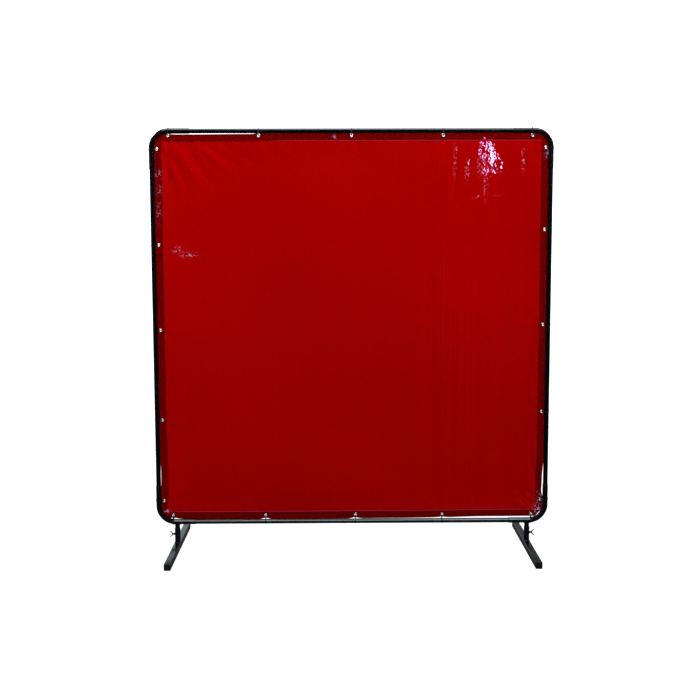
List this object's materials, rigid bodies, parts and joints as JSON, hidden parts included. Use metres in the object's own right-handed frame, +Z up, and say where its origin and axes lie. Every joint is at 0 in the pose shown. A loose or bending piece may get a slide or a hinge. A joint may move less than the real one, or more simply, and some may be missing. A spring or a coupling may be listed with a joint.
{
  "type": "welding curtain screen",
  "caption": "Free-standing welding screen: square tube frame with rounded corners, a translucent red film curtain tied inside it, and two clamped swivelling feet.",
  "frame": {"origin": "on the floor, midway between the two feet, under the tubes' centre line", "axes": "+X to the right and -Y out of the curtain's front face, as seen by someone facing it; +Z up"},
  "size_m": [1.8084, 0.7, 1.9152],
  "materials": {
    "black_paint": "gloss",
    "red_film": "gloss translucent",
    "nickel": "polished",
    "nylon_tie": "satin",
    "spring_steel": "satin",
    "button_steel": "zinc plated",
    "cast_zinc": "blue zinc plated",
    "plated_steel": "zinc plated",
    "cap_plastic": "moulded",
    "plug_plastic": "moulded"
  },
  "bodies": {
    "frame": {"cable_ties_bottom": "nylon_tie", "cable_ties_left": "nylon_tie", "cable_ties_right": "nylon_tie", "cable_ties_top": "nylon_tie", "curtain_sheet": "red_film", "elbow_bottom_left": "black_paint", "elbow_bottom_right": "black_paint", "elbow_top_left": "black_paint", "elbow_top_right": "black_paint", "eyelet_washers_bottom": "nickel", "eyelet_washers_left": "nickel", "eyelet_washers_right": "nickel", "eyelet_washers_top": "nickel", "eyelets_bottom": "nickel", "eyelets_left": "nickel", "eyelets_right": "nickel", "eyelets_top": "nickel", "leg_stub_left": "black_paint", "leg_stub_right": "black_paint", "post_left": "black_paint", "post_left_spring_bottom": "spring_steel", "post_left_spring_top": "spring_steel", "post_right": "black_paint", "post_right_spring_bottom": "spring_steel", "post_right_spring_top": "spring_steel", "rail_bottom": "black_paint", "rail_bottom_spring_left": "spring_steel", "rail_bottom_spring_right": "spring_steel", "rail_top": "black_paint", "rail_top_spring_left": "spring_steel", "rail_top_spring_right": "spring_steel", "stub_welds": "black_paint"},
    "post_left_button_bottom": {"post_left_button_bottom": "button_steel"},
    "post_left_button_top": {"post_left_button_top": "button_steel"},
    "post_right_button_bottom": {"post_right_button_bottom": "button_steel"},
    "post_right_button_top": {"post_right_button_top": "button_steel"},
    "rail_bottom_button_left": {"rail_bottom_button_left": "button_steel"},
    "rail_bottom_button_right": {"rail_bottom_button_right": "button_steel"},
    "rail_top_button_left": {"rail_top_button_left": "button_steel"},
    "rail_top_button_right": {"rail_top_button_right": "button_steel"},
    "stub_plug_left": {"stub_plug_left": "plug_plastic"},
    "foot_left": {"foot_bar_left": "black_paint", "foot_socket_left": "black_paint", "socket_weld_left": "black_paint", "socket_nut_left": "black_paint", "foot_cap_front_left": "cap_plastic", "foot_cap_rear_left": "cap_plastic"},
    "wing_bolt_stud_left": {"wing_bolt_stud_left": "plated_steel"},
    "wing_bolt_head_left": {"wing_bolt_head_left": "cast_zinc"},
    "stub_plug_right": {"stub_plug_right": "plug_plastic"},
    "foot_right": {"foot_bar_right": "black_paint", "foot_socket_right": "black_paint", "socket_weld_right": "black_paint", "socket_nut_right": "black_paint", "foot_cap_front_right": "cap_plastic", "foot_cap_rear_right": "cap_plastic"},
    "wing_bolt_stud_right": {"wing_bolt_stud_right": "plated_steel"},
    "wing_bolt_head_right": {"wing_bolt_head_right": "cast_zinc"}
  },
  "joints": [
    {"name": "foot_swivel_left", "type": "hinge", "parent": "frame", "child": "stub_plug_left", "pos_m": [-0.8065, 0, 0.03], "axis": [0, 0, 1], "continuous": true},
    {"name": "foot_lift_off_left", "type": "slide", "parent": "stub_plug_left", "child": "foot_left", "axis": [0, 0, -1], "range_m": [0, 0.06]},
    {"name": "wing_bolt_travel_left", "type": "slide", "parent": "foot_left", "child": "wing_bolt_stud_left", "axis": [-1, 0, 0], "range_m": [0, 0.00475]},
    {"name": "wing_bolt_turn_left", "type": "hinge", "parent": "wing_bolt_stud_left", "child": "wing_bolt_head_left", "pos_m": [-0.8065, 0, 0.068], "axis": [-1, 0, 0], "range_deg": [0, 1710.5]},
    {"name": "foot_swivel_right", "type": "hinge", "parent": "frame", "child": "stub_plug_right", "pos_m": [0.8065, 0, 0.03], "axis": [0, 0, 1], "continuous": true},
    {"name": "foot_lift_off_right", "type": "slide", "parent": "stub_plug_right", "child": "foot_right", "axis": [0, 0, -1], "range_m": [0, 0.06]},
    {"name": "wing_bolt_travel_right", "type": "slide", "parent": "foot_right", "child": "wing_bolt_stud_right", "axis": [1, 0, 0], "range_m": [0, 0.00475]},
    {"name": "wing_bolt_turn_right", "type": "hinge", "parent": "wing_bolt_stud_right", "child": "wing_bolt_head_right", "pos_m": [0.8065, 0, 0.068], "axis": [1, 0, 0], "range_deg": [0, 1710.5]},
    {"name": "post_left_button_bottom_press", "type": "slide", "parent": "frame", "child": "post_left_button_bottom", "axis": [0, -1, 0], "range_m": [0, 0.0032], "stiffness_N_per_m": 1200, "springref_m": -0.002, "deforming": ["post_left_spring_bottom"]},
    {"name": "post_left_button_top_press", "type": "slide", "parent": "frame", "child": "post_left_button_top", "axis": [0, -1, 0], "range_m": [0, 0.0032], "stiffness_N_per_m": 1200, "springref_m": -0.002, "deforming": ["post_left_spring_top"]},
    {"name": "post_right_button_bottom_press", "type": "slide", "parent": "frame", "child": "post_right_button_bottom", "axis": [0, -1, 0], "range_m": [0, 0.0032], "stiffness_N_per_m": 1200, "springref_m": -0.002, "deforming": ["post_right_spring_bottom"]},
    {"name": "post_right_button_top_press", "type": "slide", "parent": "frame", "child": "post_right_button_top", "axis": [0, -1, 0], "range_m": [0, 0.0032], "stiffness_N_per_m": 1200, "springref_m": -0.002, "deforming": ["post_right_spring_top"]},
    {"name": "rail_bottom_button_left_press", "type": "slide", "parent": "frame", "child": "rail_bottom_button_left", "axis": [0, -1, 0], "range_m": [0, 0.0032], "stiffness_N_per_m": 1200, "springref_m": -0.002, "deforming": ["rail_bottom_spring_left"]},
    {"name": "rail_bottom_button_right_press", "type": "slide", "parent": "frame", "child": "rail_bottom_button_right", "axis": [0, -1, 0], "range_m": [0, 0.0032], "stiffness_N_per_m": 1200, "springref_m": -0.002, "deforming": ["rail_bottom_spring_right"]},
    {"name": "rail_top_button_left_press", "type": "slide", "parent": "frame", "child": "rail_top_button_left", "axis": [0, -1, 0], "range_m": [0, 0.0032], "stiffness_N_per_m": 1200, "springref_m": -0.002, "deforming": ["rail_top_spring_left"]},
    {"name": "rail_top_button_right_press", "type": "slide", "parent": "frame", "child": "rail_top_button_right", "axis": [0, -1, 0], "range_m": [0, 0.0032], "stiffness_N_per_m": 1200, "springref_m": -0.002, "deforming": ["rail_top_spring_right"]}
  ],
  "couplings": [
    {"joint": "wing_bolt_turn_left", "follows": "wing_bolt_travel_left", "rad_per_m": 6283.2},
    {"joint": "wing_bolt_turn_right", "follows": "wing_bolt_travel_right", "rad_per_m": 6283.2}
  ]
}
